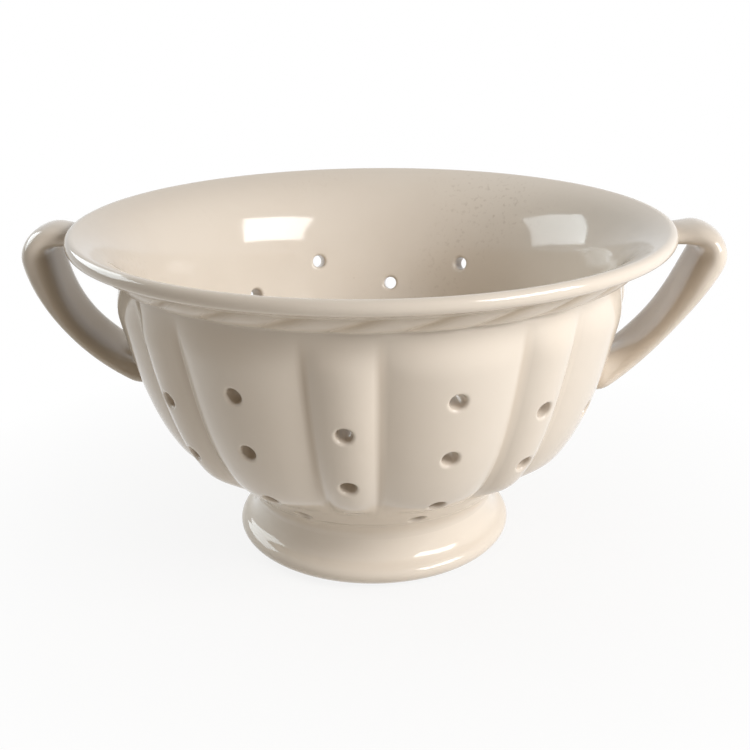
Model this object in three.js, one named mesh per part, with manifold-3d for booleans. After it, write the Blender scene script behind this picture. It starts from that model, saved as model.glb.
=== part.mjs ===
// Ceramic colander: a lobed, pierced bowl on a hollow ring foot, with a rope band under its flared lip
// and a strap handle on each side. Every piece is formed by itself and luted on with a bed of slip.
// Millimetres, +Z up, origin on the table under the middle of the foot, handles on the X axis.

import * as THREE from 'three';
import { mergeVertices } from 'three/addons/utils/BufferGeometryUtils.js';
import Module from 'manifold-3d';

const wasm = await Module();
wasm.setup();

// Bowl
const RIM_RADIUS = 132; // outer edge of the lip
const RIM_HEIGHT = 151.7; // top of the lip above the table
const LIP_THICKNESS = 6;
const LIP_OVERHANG = 21; // lip beyond the top of the plain wall
const FLARE_HEIGHT = 16.7; // from the top of the wall to the top of the lip
const WALL_THICKNESS = 6; // of the plain wall between the lobes
const WALL_DRAFT = 10.5; // degrees that the top of the wall leans outwards
const WALL_PULL = 79.5; // how far the upright part of the wall reaches down
const NECK_RADIUS = 56.5; // outside of the wall, on the foot
const NECK_RISE = 44.7; // degrees that the wall climbs where it leaves the foot
const NECK_PULL = 44.3; // how far that climb reaches up
const FLOOR_THICKNESS = 7;
const FLOOR_FILLET = 14; // round between the floor and the inside of the wall

// Lobes around the outside of the wall, narrow and wide in turn
const LOBE_PAIRS = 8;
const LOBE_PHASE = -4; // degrees from the right handle to the nearest narrow lobe
const NARROW_LOBE_ANGLE = 15; // degrees
const NARROW_SWELL = 3.6; // crest over the plain wall
const WIDE_SWELL = 4.2;
const LOBE_BASE_RISE = 17; // tips of the lobes above the bottom of the bowl
const LOBE_BASE_ROUND = 12; // length of their rounded lower ends
const LOBE_TOP_ROUND = 8; // length of their rounded upper ends, under the rope band

// Drain holes, square to the wall
const HOLE_DIAMETER = 8;
const HOLE_ROWS = 5; // on the wide and the narrow lobes in turn
const HOLE_ROW_STEP = 12.8;
const HOLE_TOP_DROP = 29; // from the top of the wall down to the highest row
const CLEARED_ROWS = 2; // highest rows that leave room for the handles
const HANDLE_CLEARANCE = 30; // degrees on each side of a handle without holes of those rows
const KNEE_ROW_RISE = 22; // lowest row of the narrow lobes, above the bottom of the bowl
const NECK_ROW_RISE = 8; // lowest row of the wide lobes, in the neck
const FLOOR_HOLES = 8;
const FLOOR_HOLE_RING = 26; // radius

// Rope band
const ROPE_STANDOFF = 5; // middle of the rope outside the top of the wall
const ROPE_DROP = 12; // middle of the rope below the top of the lip
const ROPE_HALF_HEIGHT = 5;
const ROPE_HALF_DEPTH = 5.4;
const ROPE_STRANDS = 28;
const ROPE_PLIES = 2; // strands that a groove passes in one turn around the rope
const ROPE_GROOVE = 1.1; // depth of the grooves between strands

// Foot
const FOOT_HEIGHT = 24;
const FOOT_SPREAD = 8.1; // widest part of the foot beyond the neck
const FOOT_WALL = 8.5; // thickness under the neck
const FOOT_EDGE_RISE = 6.6; // widest part above the table
const FOOT_UNDERCUT = 11.5; // how far the edge rounds in below, to the standing ring
const FOOT_SHOULDER = 7.4; // reach of the oval that rounds the edge above
const FOOT_SHOULDER_RISE = 4.8; // height of that oval
const FOOT_SHOULDER_TURN = 56; // degrees around the oval where the hollow flank begins

// Handles
const HANDLE_REACH = 25; // beyond the lip
const HANDLE_DROP = 2.6; // top of the arm below the top of the lip
const HANDLE_WIDTH = 32;
const ARM_WIDTH = 27;
const LANDING_WIDTH = 40; // limb pressed out on the wall
const ARM_THICKNESS = 8;
const BEND_THICKNESS = 15.5;
const LIMB_THICKNESS = 12.8;
const STRAP_SQUARENESS = 3; // power of the strap's section, 2 for a plain oval
const BEND_RADIUS = 8.5; // middle of the strap
const BEND_TURN = 104; // degrees
const LIMB_PULL = 30; // how far the bend's slope carries on down the limb
const LANDING_DROP = 75.7; // where the middle of the limb runs into the wall, below the top of the lip
const TIP_LENGTH = 15; // end of the limb whose outside rounds in to the wall

// Joints
const LUTE_THICKNESS = 1.2; // bed of slip
const LUTE_BEAD = 1.4; // slip squeezed out past the edges of the piece
const SEAM = 0.3; // clearance between a bed of slip and its neighbours

// Fineness of the surfaces
const NARROW_STEPS = 2;
const WIDE_STEPS = 4;
const COLUMNS = LOBE_PAIRS * (NARROW_STEPS + WIDE_STEPS);
const NECK_STEPS = 2;
const END_STEPS = 3;
const WALL_STEPS = 5;
const INSIDE_STEPS = 8;
const BEND_STEPS = 3;
const LIP_STEPS = 4;
const HOLE_SIDES = 8;
const STRAND_STEPS = 3;
const ROPE_SIDES = 8;
const HANDLE_STEPS = 28;
const HANDLE_SIDES = 16;
const EDGE_STEPS = 4;

// Places worked out from the sizes above
const JOINT_HEIGHT = LUTE_THICKNESS + 2 * SEAM;
const BOWL_BASE = FOOT_HEIGHT + JOINT_HEIGHT;
const FLOOR_TOP = BOWL_BASE + FLOOR_THICKNESS;
const WALL_TOP = RIM_HEIGHT - FLARE_HEIGHT;
const WALL_TOP_RADIUS = RIM_RADIUS - LIP_OVERHANG;
const LIP_ROUND = LIP_THICKNESS / 2;
const LOBE_PERIOD = (2 * Math.PI) / LOBE_PAIRS;
const NARROW_HALF = THREE.MathUtils.degToRad(NARROW_LOBE_ANGLE) / 2;
const WIDE_HALF = LOBE_PERIOD / 2 - NARROW_HALF;
const LOBE_BASE = BOWL_BASE + LOBE_BASE_RISE;
const ROPE_RADIUS = WALL_TOP_RADIUS + ROPE_STANDOFF;
const ROPE_HEIGHT = RIM_HEIGHT - ROPE_DROP;
const FOOT_RADIUS = NECK_RADIUS + FOOT_SPREAD;
const FOOT_INNER_RADIUS = NECK_RADIUS - FOOT_WALL;

// Outside of the plain wall in the radius and height plane, from the foot to the flare
const draft = THREE.MathUtils.degToRad(WALL_DRAFT);
const rise = THREE.MathUtils.degToRad(NECK_RISE);
const neckPoint = new THREE.Vector2(NECK_RADIUS, BOWL_BASE);
const wallTopPoint = new THREE.Vector2(WALL_TOP_RADIUS, WALL_TOP);
const neckSlope = new THREE.Vector2(Math.cos(rise), Math.sin(rise));
const wallSlope = new THREE.Vector2(Math.sin(draft), Math.cos(draft));
const wallCurve = new THREE.CubicBezierCurve(
  neckPoint,
  neckPoint.clone().addScaledVector(neckSlope, NECK_PULL),
  wallTopPoint.clone().addScaledVector(wallSlope, -WALL_PULL),
  wallTopPoint,
);

// Where on the wall's curve a height lies
function wallPlace(height) {
  let [low, high] = [0, 1];
  while (high - low > 1e-6) {
    const middle = (low + high) / 2;
    if (wallCurve.getPoint(middle).y < height) {
      low = middle;
    } else {
      high = middle;
    }
  }
  return (low + high) / 2;
}

// A flare that leaves the wall along its slope and runs out level
function flareCurve(start, end) {
  const bend = new THREE.Vector2(start.x + (end.y - start.y) * Math.tan(draft), end.y);
  return new THREE.QuadraticBezierCurve(start, bend, end);
}

// Sideways direction of a curve, away from the bowl's axis
function outward(curve, t) {
  const slope = curve.getTangent(t);
  return new THREE.Vector2(slope.y, -slope.x);
}

function offsetPoint(curve, t, distance) {
  return curve.getPoint(t).addScaledVector(outward(curve, t), distance);
}

// How far a height is into the rounded end of a lobe: 0 along the lobe, 1 at its tip and beyond
function lobeEnd(height) {
  const low = (LOBE_BASE + LOBE_BASE_ROUND - height) / LOBE_BASE_ROUND;
  const high = (height - WALL_TOP + LOBE_TOP_ROUND) / LOBE_TOP_ROUND;
  return THREE.MathUtils.clamp(Math.max(low, high), 0, 1);
}

// Swell of the lobes over the plain wall: a round back that falls to the creases and to both ends
function lobeSwell(angle, end) {
  const off = Math.abs(angle - LOBE_PERIOD * Math.round(angle / LOBE_PERIOD));
  const narrow = off < NARROW_HALF;
  const across = narrow ? off / NARROW_HALF : (LOBE_PERIOD / 2 - off) / WIDE_HALF;
  return (narrow ? NARROW_SWELL : WIDE_SWELL) * Math.max(0, 1 - across * across - end * end);
}

// Columns of the bowl's surface, with one on every crease
function columnAngle(column) {
  const steps = NARROW_STEPS + WIDE_STEPS;
  const period = Math.floor(column / steps);
  const step = column - period * steps;
  const wide = THREE.MathUtils.clamp(step - NARROW_STEPS / 2, 0, WIDE_STEPS);
  const narrow = step - wide;
  return period * LOBE_PERIOD + (2 * narrow * NARROW_HALF) / NARROW_STEPS + (2 * wide * WIDE_HALF) / WIDE_STEPS;
}

// Row of the bowl's profile; only rows with an end below 1 carry lobes
function row(point, end = 1, out = new THREE.Vector2()) {
  return { point, end, out };
}

// Surface of revolution whose rows take the lobes
function lobedLathe(profile) {
  const points = profile.map(({ point }) => point);
  const geometry = new THREE.LatheGeometry(points, COLUMNS);
  const uv = geometry.getAttribute('uv');
  const position = geometry.getAttribute('position');
  for (let i = 0; i < position.count; i += 1) {
    const { point, end, out } = profile[Math.round(uv.getY(i) * (profile.length - 1))];
    const angle = columnAngle(Math.round(uv.getX(i) * COLUMNS) % COLUMNS);
    const swell = lobeSwell(angle, end);
    const reach = point.x + swell * out.x;
    const turned = angle + THREE.MathUtils.degToRad(LOBE_PHASE);
    position.setXYZ(i, reach * Math.cos(turned), reach * Math.sin(turned), point.y + swell * out.y);
  }
  return geometry;
}

// Plain ring or disc turned about Z
function plainLathe(points) {
  return new THREE.LatheGeometry(points, COLUMNS).rotateX(Math.PI / 2);
}

function signedVolume(positions, triangles) {
  const [a, b, c] = [new THREE.Vector3(), new THREE.Vector3(), new THREE.Vector3()];
  let volume = 0;
  for (let i = 0; i < triangles.length; i += 3) {
    a.fromArray(positions, 3 * triangles[i]);
    b.fromArray(positions, 3 * triangles[i + 1]);
    c.fromArray(positions, 3 * triangles[i + 2]);
    volume += a.dot(b.cross(c));
  }
  return volume;
}

// Closed solid from a surface, with its faces turned outwards
function toSolid(geometry) {
  const bare = geometry.clone();
  bare.deleteAttribute('normal');
  bare.deleteAttribute('uv');
  const merged = mergeVertices(bare);
  const positions = merged.getAttribute('position').array;
  const corners = merged.index.array;
  const triangles = [];
  for (let i = 0; i < corners.length; i += 3) {
    const [a, b, c] = [corners[i], corners[i + 1], corners[i + 2]];
    if (a !== b && b !== c && c !== a) {
      triangles.push(a, b, c);
    }
  }
  if (signedVolume(positions, triangles) < 0) {
    triangles.reverse();
  }
  const vertProperties = new Float32Array(positions);
  const triVerts = new Uint32Array(triangles);
  return new wasm.Manifold(new wasm.Mesh({ numProp: 3, vertProperties, triVerts }));
}

function toGeometry(solid) {
  const mesh = solid.getMesh();
  const geometry = new THREE.BufferGeometry();
  geometry.setAttribute('position', new THREE.BufferAttribute(new Float32Array(mesh.vertProperties), 3));
  geometry.setIndex(new THREE.BufferAttribute(new Uint32Array(mesh.triVerts), 1));
  geometry.computeVertexNormals();
  return geometry;
}

// Heights of the rows up the outside of the wall, closer together at the ends of the lobes
function wallHeights() {
  const stages = [
    [BOWL_BASE, LOBE_BASE, NECK_STEPS],
    [LOBE_BASE, LOBE_BASE + LOBE_BASE_ROUND, END_STEPS],
    [LOBE_BASE + LOBE_BASE_ROUND, WALL_TOP - LOBE_TOP_ROUND, WALL_STEPS],
    [WALL_TOP - LOBE_TOP_ROUND, WALL_TOP, END_STEPS],
  ];
  const heights = [BOWL_BASE];
  for (const [low, high, steps] of stages) {
    for (let i = 1; i <= steps; i += 1) {
      heights.push(THREE.MathUtils.lerp(low, high, i / steps));
    }
  }
  return heights;
}

// Rows up the outside of the bowl, grown by a distance, from the foot to the top of the lip
function outsideRows(growth) {
  const rows = wallHeights().map((height) => {
    const t = wallPlace(height);
    return row(offsetPoint(wallCurve, t, growth), lobeEnd(height), outward(wallCurve, t));
  });
  const lipBottom = new THREE.Vector2(RIM_RADIUS - LIP_ROUND, RIM_HEIGHT - LIP_THICKNESS);
  const cove = flareCurve(wallTopPoint, lipBottom);
  for (let i = 1; i < BEND_STEPS; i += 1) {
    rows.push(row(offsetPoint(cove, i / BEND_STEPS, growth)));
  }
  for (let i = 0; i <= LIP_STEPS; i += 1) {
    const turn = Math.PI * (i / LIP_STEPS - 0.5);
    const round = new THREE.Vector2(Math.cos(turn), Math.sin(turn)).multiplyScalar(LIP_ROUND + growth);
    rows.push(row(round.add(new THREE.Vector2(RIM_RADIUS - LIP_ROUND, RIM_HEIGHT - LIP_ROUND))));
  }
  return rows;
}

// Rows down the inside of the bowl, from the lip to the floor
function insideRows() {
  const rows = [];
  const flare = flareCurve(
    offsetPoint(wallCurve, 1, -WALL_THICKNESS),
    new THREE.Vector2(RIM_RADIUS - LIP_ROUND, RIM_HEIGHT),
  );
  for (let i = BEND_STEPS; i > 0; i -= 1) {
    rows.push(row(flare.getPoint(i / (BEND_STEPS + 1))));
  }
  const wall = [];
  for (let i = INSIDE_STEPS; i >= 0; i -= 1) {
    wall.push(offsetPoint(wallCurve, i / INSIDE_STEPS, -WALL_THICKNESS));
  }
  const upright = wall.filter((point) => point.y > FLOOR_TOP + FLOOR_FILLET / 2);
  rows.push(...upright.map((point) => row(point)));
  const last = upright[upright.length - 1];
  const corner = new THREE.Vector2(last.x - (last.y - FLOOR_TOP) / Math.tan(rise), FLOOR_TOP);
  const level = new THREE.Vector2(corner.x - FLOOR_FILLET, FLOOR_TOP);
  const fillet = new THREE.QuadraticBezierCurve(last, corner, level);
  for (let i = 1; i <= BEND_STEPS; i += 1) {
    rows.push(row(fillet.getPoint(i / BEND_STEPS)));
  }
  return rows;
}

// The bowl as one solid without its hollow, grown by a distance
function bowlBlank(growth) {
  const base = row(new THREE.Vector2(0, BOWL_BASE - growth));
  const top = row(new THREE.Vector2(0, RIM_HEIGHT + growth));
  return toSolid(lobedLathe([base, ...outsideRows(growth), top]));
}

// Round punch square to the wall
function wallPunch(height, angle) {
  const t = wallPlace(height);
  const out = outward(wallCurve, t);
  const middle = offsetPoint(wallCurve, t, -WALL_THICKNESS / 2);
  const aim = new THREE.Vector3(out.x * Math.cos(angle), out.x * Math.sin(angle), out.y);
  const length = 2 * (WALL_THICKNESS + WIDE_SWELL + NARROW_SWELL);
  const punch = new THREE.CylinderGeometry(HOLE_DIAMETER / 2, HOLE_DIAMETER / 2, length, HOLE_SIDES);
  punch.applyQuaternion(new THREE.Quaternion().setFromUnitVectors(new THREE.Vector3(0, 1, 0), aim));
  return punch.translate(middle.x * Math.cos(angle), middle.x * Math.sin(angle), middle.y);
}

// One punch through every other lobe at a height, but none within the clearance of a handle
function punchRow(height, onNarrow, clearance) {
  const punches = [];
  for (let pair = 0; pair < LOBE_PAIRS; pair += 1) {
    const angle = (pair + (onNarrow ? 0 : 0.5)) * LOBE_PERIOD + THREE.MathUtils.degToRad(LOBE_PHASE);
    const fromHandle = Math.abs(angle - Math.PI * Math.round(angle / Math.PI));
    if (fromHandle >= THREE.MathUtils.degToRad(clearance)) {
      punches.push(wallPunch(height, angle));
    }
  }
  return punches;
}

function floorPunch(x, y) {
  const length = 2 * FLOOR_THICKNESS;
  const punch = new THREE.CylinderGeometry(HOLE_DIAMETER / 2, HOLE_DIAMETER / 2, length, HOLE_SIDES);
  return punch.rotateX(Math.PI / 2).translate(x, y, BOWL_BASE + FLOOR_THICKNESS / 2);
}

function drainPunches() {
  const punches = [floorPunch(0, 0)];
  for (let i = 0; i < FLOOR_HOLES; i += 1) {
    const angle = (2 * Math.PI * i) / FLOOR_HOLES;
    punches.push(floorPunch(FLOOR_HOLE_RING * Math.cos(angle), FLOOR_HOLE_RING * Math.sin(angle)));
  }
  for (let level = 0; level < HOLE_ROWS; level += 1) {
    const height = WALL_TOP - HOLE_TOP_DROP - level * HOLE_ROW_STEP;
    punches.push(...punchRow(height, level % 2 === 1, level < CLEARED_ROWS ? HANDLE_CLEARANCE : 0));
  }
  punches.push(...punchRow(BOWL_BASE + KNEE_ROW_RISE, true, 0));
  punches.push(...punchRow(BOWL_BASE + NECK_ROW_RISE, false, 0));
  return punches;
}

function makeBowl() {
  const base = row(new THREE.Vector2(0, BOWL_BASE));
  const floor = row(new THREE.Vector2(0, FLOOR_TOP));
  let bowl = toSolid(lobedLathe([base, ...outsideRows(0), ...insideRows(), floor]));
  for (const punch of drainPunches()) {
    bowl = bowl.subtract(toSolid(punch));
  }
  return bowl;
}

// Twisted ring whose grooves climb around it, seated in the cove under the lip
function makeRopeBand() {
  const columns = ROPE_STRANDS * STRAND_STEPS;
  const section = [];
  for (let i = 0; i <= ROPE_SIDES; i += 1) {
    const turn = (2 * Math.PI * (i % ROPE_SIDES)) / ROPE_SIDES;
    section.push(new THREE.Vector2(Math.cos(turn), Math.sin(turn)));
  }
  const rope = new THREE.LatheGeometry(section, columns);
  const uv = rope.getAttribute('uv');
  const position = rope.getAttribute('position');
  for (let i = 0; i < position.count; i += 1) {
    const side = Math.round(uv.getY(i) * ROPE_SIDES) % ROPE_SIDES;
    const angle = (2 * Math.PI * (Math.round(uv.getX(i) * columns) % columns)) / columns;
    const turn = (2 * Math.PI * side) / ROPE_SIDES;
    const groove = ROPE_GROOVE * (1 - Math.abs(Math.sin((ROPE_STRANDS * angle - ROPE_PLIES * turn) / 2)));
    const reach = ROPE_RADIUS + (ROPE_HALF_DEPTH - groove) * Math.cos(turn);
    const height = ROPE_HEIGHT + (ROPE_HALF_HEIGHT - groove) * Math.sin(turn);
    position.setXYZ(i, reach * Math.cos(angle), reach * Math.sin(angle), height);
  }
  return toSolid(rope).subtract(bowlBlank(SEAM));
}

// Ring with a low round edge and a hollow flank that runs up into the neck
function makeFoot() {
  const lastTurn = THREE.MathUtils.degToRad(FOOT_SHOULDER_TURN);
  const edge = new THREE.EllipseCurve(
    FOOT_RADIUS - FOOT_UNDERCUT,
    FOOT_EDGE_RISE,
    FOOT_UNDERCUT,
    FOOT_EDGE_RISE,
    -Math.PI / 2,
    0,
  );
  const shoulder = new THREE.EllipseCurve(
    FOOT_RADIUS - FOOT_SHOULDER,
    FOOT_EDGE_RISE,
    FOOT_SHOULDER,
    FOOT_SHOULDER_RISE,
    0,
    lastTurn,
  );
  const leave = shoulder.getPoint(1);
  const slope = shoulder.getTangent(1);
  const bendHeight = leave.y + ((NECK_RADIUS - leave.x) * slope.y) / slope.x;
  const bend = new THREE.Vector2(NECK_RADIUS, Math.min(bendHeight, FOOT_HEIGHT));
  const flank = new THREE.QuadraticBezierCurve(leave, bend, new THREE.Vector2(NECK_RADIUS, FOOT_HEIGHT));
  const points = [new THREE.Vector2(FOOT_INNER_RADIUS, 0), edge.getPoint(0)];
  for (const [curve, steps] of [[edge, EDGE_STEPS], [shoulder, BEND_STEPS], [flank, BEND_STEPS]]) {
    for (let i = 1; i <= steps; i += 1) {
      points.push(curve.getPoint(i / steps));
    }
  }
  points.push(new THREE.Vector2(FOOT_INNER_RADIUS, FOOT_HEIGHT));
  points.push(points[0]);
  return toSolid(plainLathe(points));
}

// Bed of slip between the foot and the bowl, with a round bead outside
function makeFootLute() {
  const low = FOOT_HEIGHT + SEAM;
  const high = low + LUTE_THICKNESS;
  const inner = FOOT_INNER_RADIUS + LUTE_BEAD;
  const points = [
    new THREE.Vector2(inner, low),
    new THREE.Vector2(NECK_RADIUS, low),
    new THREE.Vector2(NECK_RADIUS + LUTE_THICKNESS / 2, (low + high) / 2),
    new THREE.Vector2(NECK_RADIUS, high),
    new THREE.Vector2(inner, high),
    new THREE.Vector2(inner, low),
  ];
  return toSolid(plainLathe(points));
}

// Ring that holds the rope band and its place under the lip, grown by a distance
function bandCollar(growth) {
  const inner = WALL_TOP_RADIUS - WALL_THICKNESS;
  const outer = (ROPE_RADIUS + ROPE_HALF_DEPTH + growth) / Math.cos(Math.PI / COLUMNS);
  const low = ROPE_HEIGHT - ROPE_HALF_HEIGHT - growth;
  const high = RIM_HEIGHT - LIP_ROUND;
  const points = [
    new THREE.Vector2(inner, low),
    new THREE.Vector2(outer, low),
    new THREE.Vector2(outer, high),
    new THREE.Vector2(inner, high),
    new THREE.Vector2(inner, low),
  ];
  return toSolid(plainLathe(points));
}

function handleSeat(growth) {
  return bowlBlank(growth).add(bandCollar(growth));
}

// Middle of the strap in the radius and height plane: level arm, round bend, then the limb to the wall
function handlePath() {
  const armHeight = RIM_HEIGHT - HANDLE_DROP - ARM_THICKNESS / 2;
  const bendMiddle = RIM_RADIUS + HANDLE_REACH - BEND_THICKNESS / 2 - BEND_RADIUS;
  const bendEnd = Math.PI / 2 - THREE.MathUtils.degToRad(BEND_TURN);
  const landing = offsetPoint(wallCurve, wallPlace(RIM_HEIGHT - LANDING_DROP), -WALL_THICKNESS / 2);
  const path = new THREE.Path();
  path.moveTo(WALL_TOP_RADIUS, armHeight);
  path.lineTo(bendMiddle, armHeight);
  path.absarc(bendMiddle, armHeight - BEND_RADIUS, BEND_RADIUS, Math.PI / 2, bendEnd, true);
  const leave = path.currentPoint.clone();
  leave.x += LIMB_PULL * Math.sin(bendEnd);
  leave.y -= LIMB_PULL * Math.cos(bendEnd);
  path.quadraticCurveTo(leave.x, leave.y, landing.x, landing.y);
  return path;
}

// Share of a section's half size, fuller at the corners than a plain oval
function squared(share) {
  return Math.sign(share) * Math.abs(share) ** (2 / STRAP_SQUARENESS);
}

// Strap along the path from one share of its length to another, grown by a distance
function strap(from, to, growth, side) {
  const path = handlePath();
  const lengths = path.getCurveLengths();
  const whole = lengths[lengths.length - 1];
  const bendStart = lengths[0] / whole;
  const bendEnd = lengths[1] / whole;
  const positions = [];
  const triangles = [];
  for (let i = 0; i <= HANDLE_STEPS; i += 1) {
    const u = THREE.MathUtils.lerp(from, to, i / HANDLE_STEPS);
    const grown = THREE.MathUtils.smoothstep(u, bendStart / 2, bendEnd);
    const eased = THREE.MathUtils.smoothstep(u, bendEnd, (1 + bendEnd) / 2);
    const bend = THREE.MathUtils.lerp(ARM_THICKNESS, BEND_THICKNESS, grown);
    const thickness = THREE.MathUtils.lerp(bend, LIMB_THICKNESS, eased) / 2 + growth;
    const pressed = THREE.MathUtils.smoothstep(u, (1 + bendEnd) / 2, 1);
    const loop = THREE.MathUtils.lerp(ARM_WIDTH, HANDLE_WIDTH, grown);
    const width = THREE.MathUtils.lerp(loop, LANDING_WIDTH, pressed) / 2 + growth;
    const tip = Math.max(0, 1 - ((1 - u) * whole) / TIP_LENGTH);
    const outside = thickness * Math.sqrt(1 - tip * tip);
    const middle = path.getPointAt(u);
    const slope = path.getTangentAt(u);
    for (let j = 0; j < HANDLE_SIDES; j += 1) {
      const turn = (2 * Math.PI * j) / HANDLE_SIDES;
      const up = squared(Math.cos(turn));
      const lift = up * (up > 0 ? outside : thickness);
      const radius = middle.x - slope.y * lift;
      positions.push(side * radius, side * width * squared(Math.sin(turn)), middle.y + slope.x * lift);
    }
  }
  const ring = (i, j) => i * HANDLE_SIDES + (j % HANDLE_SIDES);
  for (let i = 0; i < HANDLE_STEPS; i += 1) {
    for (let j = 0; j < HANDLE_SIDES; j += 1) {
      triangles.push(ring(i, j), ring(i + 1, j), ring(i + 1, j + 1));
      triangles.push(ring(i, j), ring(i + 1, j + 1), ring(i, j + 1));
    }
  }
  for (let j = 1; j < HANDLE_SIDES - 1; j += 1) {
    triangles.push(ring(0, 0), ring(0, j), ring(0, j + 1));
    triangles.push(ring(HANDLE_STEPS, 0), ring(HANDLE_STEPS, j + 1), ring(HANDLE_STEPS, j));
  }
  const geometry = new THREE.BufferGeometry();
  geometry.setAttribute('position', new THREE.Float32BufferAttribute(positions, 3));
  geometry.setIndex(triangles);
  return toSolid(geometry);
}

// What a strap is cut back to, and the skin of slip between it and the bowl
const strapSeat = handleSeat(JOINT_HEIGHT);
const slipBed = handleSeat(LUTE_THICKNESS + SEAM).subtract(handleSeat(SEAM));

function makeHandle(side) {
  return strap(0, 1, 0, side).subtract(strapSeat);
}

// Bed of slip where one end of a strap meets the bowl
function makeHandleLute(from, to, side) {
  return strap(from, to, LUTE_BEAD, side).intersect(slipBed);
}

const glaze = { color: 0xe6dccb, roughness: 0.16, metalness: 0 };
const slip = { color: 0xdfd3c0, roughness: 0.22, metalness: 0 };

const colander = new THREE.Group();

function place(name, solid, finish) {
  const mesh = new THREE.Mesh(toGeometry(solid), new THREE.MeshStandardMaterial(finish));
  mesh.name = name;
  colander.add(mesh);
}

place('bowl', makeBowl(), glaze);
place('rope_band', makeRopeBand(), glaze);
place('foot', makeFoot(), glaze);
place('foot_lute', makeFootLute(), slip);
for (const [name, side] of [['right', 1], ['left', -1]]) {
  place(`${name}_handle`, makeHandle(side), glaze);
  place(`${name}_arm_lute`, makeHandleLute(0, 0.4, side), slip);
  place(`${name}_limb_lute`, makeHandleLute(0.6, 1, side), slip);
}

export default colander;
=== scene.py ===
import math

import bmesh
import bpy
import numpy as np
from mathutils import Matrix, Vector


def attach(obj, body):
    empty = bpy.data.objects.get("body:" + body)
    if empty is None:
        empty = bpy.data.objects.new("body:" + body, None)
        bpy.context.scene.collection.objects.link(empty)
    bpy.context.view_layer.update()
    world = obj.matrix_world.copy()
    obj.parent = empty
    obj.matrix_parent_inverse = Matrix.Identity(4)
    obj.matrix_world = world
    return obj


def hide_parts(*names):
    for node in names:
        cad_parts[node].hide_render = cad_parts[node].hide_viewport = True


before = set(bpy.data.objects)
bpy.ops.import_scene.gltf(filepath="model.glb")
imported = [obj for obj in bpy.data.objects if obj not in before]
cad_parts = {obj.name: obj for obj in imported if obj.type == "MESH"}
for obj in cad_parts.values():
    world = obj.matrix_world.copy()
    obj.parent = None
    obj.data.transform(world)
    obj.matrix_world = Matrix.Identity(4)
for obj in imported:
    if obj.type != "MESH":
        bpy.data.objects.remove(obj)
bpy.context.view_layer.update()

# Bowl. The body of the colander, pressed earthenware under a glossy ivory glaze: a wall of wide and narrow
# lobes that flares to a rolled lip, punched square to the wall with drain holes whose edges the glaze has
# rounded. It stands on the foot and carries every other piece. Lengths here are millimetres.
rim_radius = 132.0
rim_height = 151.7
lip_round = 3.0
lip_lean = math.radians(18.0)
wall_top_radius = 111.0
wall_top = 135.0
wall_draft = math.radians(10.5)
wall_pull = 79.5
wall_thickness = 6.0
flare_start = 113.0
flare_pull = 20.0
lip_pull = 16.0
flare_split = 0.5
neck_radius = 56.5
neck_rise = math.radians(44.7)
neck_pull = 44.3
bowl_base = 25.8
floor_top = 32.8
floor_fillet = 17.0
floor_fillet_depth = 3.9
lobe_phase = math.radians(-4.0)
lobe_period = math.radians(45.0)
narrow_half = math.radians(7.5)
narrow_swell = 4.8
wide_swell = 5.2
lobe_fullness = 0.8
lobe_foot = 40.0
lobe_foot_round = 18.0
lobe_head_round = 18.0
crease_softness = 0.04
crease_limit = 0.3
cove_bend = (117.0, 141.0)
hole_radius = 3.3
hole_lip = 1.5
# How far painted shade browns the bores of the holes
hole_bareness = 0.2
wide_hole_heights = (33.8, 54.8, 80.4, 106.0)
narrow_hole_heights = (47.8, 67.6, 93.2)
handle_clear_height = 90.0
handle_clearance = math.radians(30.0)
floor_hole_ring = 26.0
millimetre = 0.001
wall_line_points = 2001
columns = 240
lobe_columns = 30
column_angles = lobe_phase + np.arange(columns) * math.tau / columns


def bezier(points, share):
    points = [np.asarray(point, float) for point in points]
    share = np.asarray(share, float)[..., None]
    while len(points) > 1:
        points = [a + (b - a) * share for a, b in zip(points, points[1:])]
    return points[0]


# The plain wall as a line of radius and height, walked by its arc length from the neck up
wall_line = bezier(
    [
        (neck_radius, bowl_base),
        (neck_radius + neck_pull * math.cos(neck_rise), bowl_base + neck_pull * math.sin(neck_rise)),
        (wall_top_radius - wall_pull * math.sin(wall_draft), wall_top - wall_pull * math.cos(wall_draft)),
        (wall_top_radius, wall_top),
    ],
    np.linspace(0, 1, wall_line_points),
)
wall_arc = np.concatenate([[0], np.cumsum(np.linalg.norm(np.diff(wall_line, axis=0), axis=1))])
wall_slope = np.gradient(wall_line, wall_arc, axis=0)


def along(arc, arcs, values):
    return np.stack([np.interp(arc, arcs, values[:, k]) for k in (0, 1)], -1)


def wall_place(arc):
    return along(arc, wall_arc, wall_line)


def wall_outward(arc):
    slope = along(arc, wall_arc, wall_slope)
    return np.stack([slope[..., 1], -slope[..., 0]], -1)


def arc_at(height):
    return np.interp(height, wall_line[:, 1], wall_arc)


def lobe_share(angle, height):
    """How full the lobes are, 1 on a back and near 0 in the creases and past the ends; the swell of the lobe
    there; and how deep in a crease it is."""
    off = np.abs((angle - lobe_phase + lobe_period / 2) % lobe_period - lobe_period / 2)
    narrow = off < narrow_half
    across = np.where(narrow, off / narrow_half, (lobe_period / 2 - off) / (lobe_period / 2 - narrow_half))
    low = (lobe_foot + lobe_foot_round - height) / lobe_foot_round
    high = (height - wall_top + lobe_head_round) / lobe_head_round
    end = np.maximum(np.maximum(low, high), 0)
    rise = 1 - across**2
    back = ((rise + np.sqrt(rise**2 + 4 * crease_softness**2)) / 2) ** lobe_fullness
    along_lobe = np.clip(1 - end**2, 0, 1) ** 2
    share = back * along_lobe
    crease = np.clip(1 - back / crease_limit, 0, 1) * along_lobe
    return share, np.where(narrow, narrow_swell, wide_swell), crease


def turned(angle, place):
    return np.stack([place[..., 0] * np.cos(angle), place[..., 0] * np.sin(angle), place[..., 1]], -1)


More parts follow.
